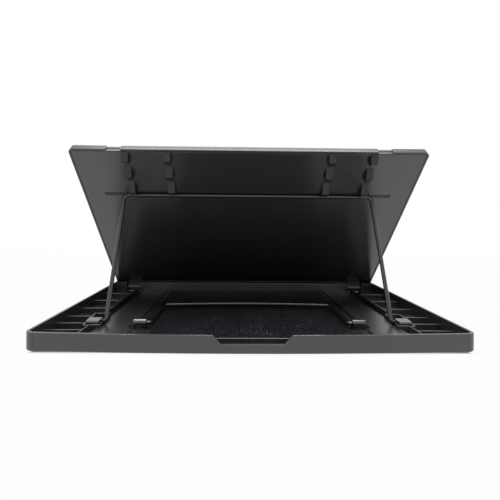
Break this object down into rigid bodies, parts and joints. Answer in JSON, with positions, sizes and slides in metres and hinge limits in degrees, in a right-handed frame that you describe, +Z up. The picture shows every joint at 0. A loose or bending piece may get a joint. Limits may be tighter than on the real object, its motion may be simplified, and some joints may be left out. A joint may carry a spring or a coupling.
{
  "type": "photo album stand",
  "caption": "Folding stand for a photo album: a shallow tray with a hinged display panel, propped open by a wire bail that rests under teeth on the panel's back.",
  "frame": {"origin": "on the table, under the middle of the open stand's overall width and depth", "axes": "+X to the right when seen from behind the stand's rear wall, +Y from the rear wall towards the front edge with the album ledge, +Z up"},
  "size_m": [0.36, 0.2462, 0.1776],
  "materials": {
    "charcoal_plastic": "fine-textured charcoal moulding",
    "floor_lining": "fine-grained sheet",
    "bail_wire": "semi-gloss black powder coat",
    "clip_plastic": "glossy black moulding",
    "pin_steel": "bright steel",
    "soft_rubber": "matt black rubber"
  },
  "bodies": {
    "base": {"base_tray": "charcoal_plastic", "floor_mat": "floor_lining", "foot_rear_left": "soft_rubber", "foot_rear_right": "soft_rubber", "foot_front_left": "soft_rubber", "foot_front_right": "soft_rubber", "hinge_pin_left": "pin_steel", "hinge_pin_right": "pin_steel", "long_clip_left": "clip_plastic", "long_clip_right": "clip_plastic", "short_clip_left": "clip_plastic", "short_clip_right": "clip_plastic", "clip_screws": "pin_steel"},
    "panel": {"panel_face": "charcoal_plastic", "panel_back": "charcoal_plastic", "album_ledge": "charcoal_plastic", "ledge_grip": "soft_rubber", "ledge_screws": "pin_steel"},
    "long_bail": {"long_bail": "bail_wire"},
    "short_bail": {"short_bail": "bail_wire"}
  },
  "joints": [
    {"name": "panel_tilt", "type": "hinge", "parent": "base", "child": "panel", "pos_m": [0, 0.09535, 0.0083], "axis": [-1, 0, 0], "range_deg": [0, 33.4]},
    {"name": "long_bail_fold", "type": "hinge", "parent": "base", "child": "long_bail", "pos_m": [0, -0.06364, 0.0086], "axis": [-1, 0, 0], "range_deg": [0, 66.8]},
    {"name": "short_bail_swing", "type": "hinge", "parent": "base", "child": "short_bail", "pos_m": [0, -0.06835, 0.0086], "axis": [1, 0, 0], "range_deg": [0, 165]}
  ],
  "couplings": [
    {"joint": "long_bail_fold", "follows": "panel_tilt", "ratio": 2}
  ]
}
